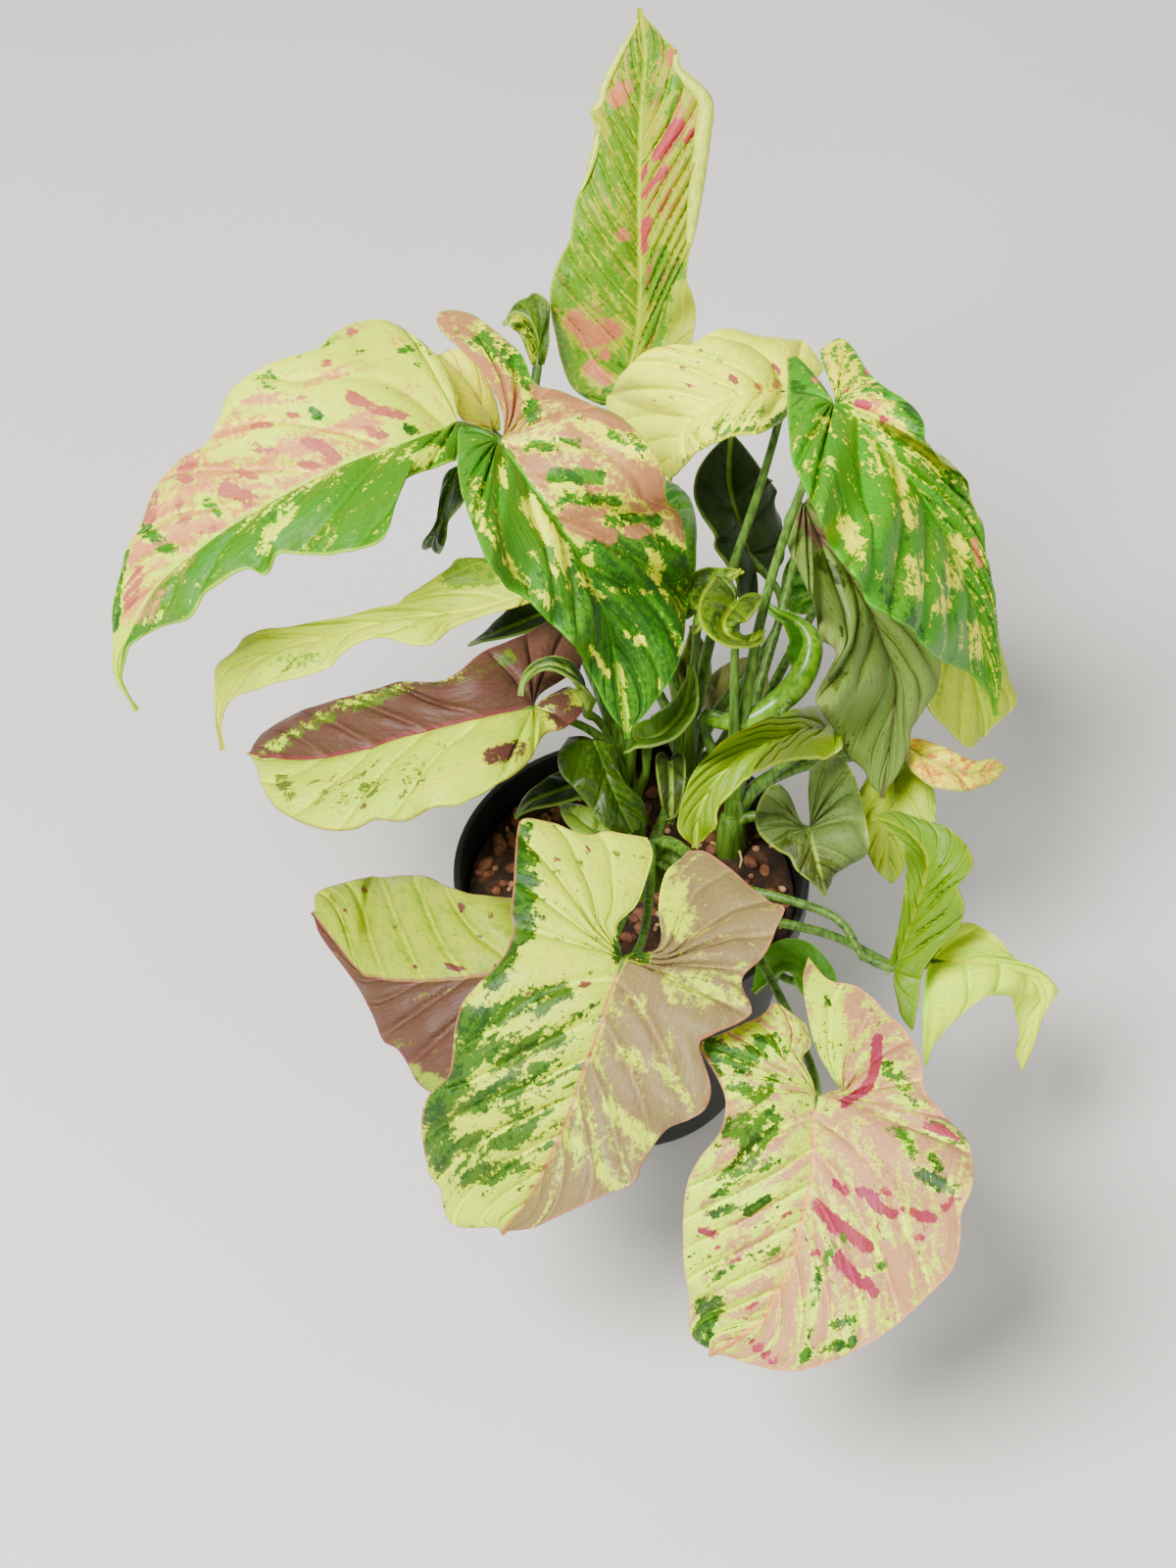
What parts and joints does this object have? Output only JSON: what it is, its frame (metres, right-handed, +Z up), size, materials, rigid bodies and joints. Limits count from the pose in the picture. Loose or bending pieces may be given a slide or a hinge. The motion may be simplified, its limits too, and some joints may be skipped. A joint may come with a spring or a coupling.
{
  "type": "potted arrowhead plant",
  "caption": "Bushy arrowhead plant with pink, cream and green variegated arrow-shaped leaves on long arching stalks, standing in potting mix in a plain black nursery pot.",
  "frame": {"origin": "centre of the pot's foot, on the surface that it stands on", "axes": "+Z up along the pot's axis, -Y towards the front, where the largest leaves hang"},
  "size_m": [0.2882, 0.3655, 0.2891],
  "materials": {
    "leaf_variegated": "satin",
    "leaf_green": "satin",
    "stalk": "satin",
    "pot_plastic": "satin",
    "potting_mix": "matte"
  },
  "bodies": {
    "root": {"leaf_arching": "leaf_variegated", "leaf_back_hidden": "leaf_green", "leaf_back_inner": "leaf_green", "leaf_back_right_hidden": "leaf_green", "leaf_back_small": "leaf_green", "leaf_front_large": "leaf_variegated", "leaf_front_left": "leaf_variegated", "leaf_front_right": "leaf_variegated", "leaf_front_small": "leaf_green", "leaf_inner_claw": "leaf_green", "leaf_inner_cup": "leaf_green", "leaf_inner_dark": "leaf_green", "leaf_inner_glossy": "leaf_green", "leaf_inner_hook": "leaf_green", "leaf_inner_loop": "leaf_green", "leaf_inner_low": "leaf_green", "leaf_inner_olive": "leaf_green", "leaf_inner_round": "leaf_variegated", "leaf_inner_strap": "leaf_green", "leaf_inner_twist": "leaf_green", "leaf_inner_white": "leaf_variegated", "leaf_left_dark": "leaf_green", "leaf_left_high": "leaf_variegated", "leaf_left_narrow": "leaf_variegated", "leaf_left_pale_lobe": "leaf_variegated", "leaf_left_rose": "leaf_variegated", "leaf_left_small": "leaf_green", "leaf_middle_high": "leaf_variegated", "leaf_right_behind": "leaf_variegated", "leaf_right_hanging": "leaf_variegated", "leaf_right_high": "leaf_variegated", "leaf_right_inner": "leaf_variegated", "leaf_right_low": "leaf_variegated", "leaf_right_scroll": "leaf_variegated", "leaf_right_small": "leaf_variegated", "leaf_right_wavy": "leaf_green", "leaf_top": "leaf_variegated", "pot": "pot_plastic", "shoot_back": "stalk", "shoot_front": "stalk", "shoot_left": "stalk", "shoot_right": "stalk", "soil": "potting_mix"}
  },
  "joints": []
}
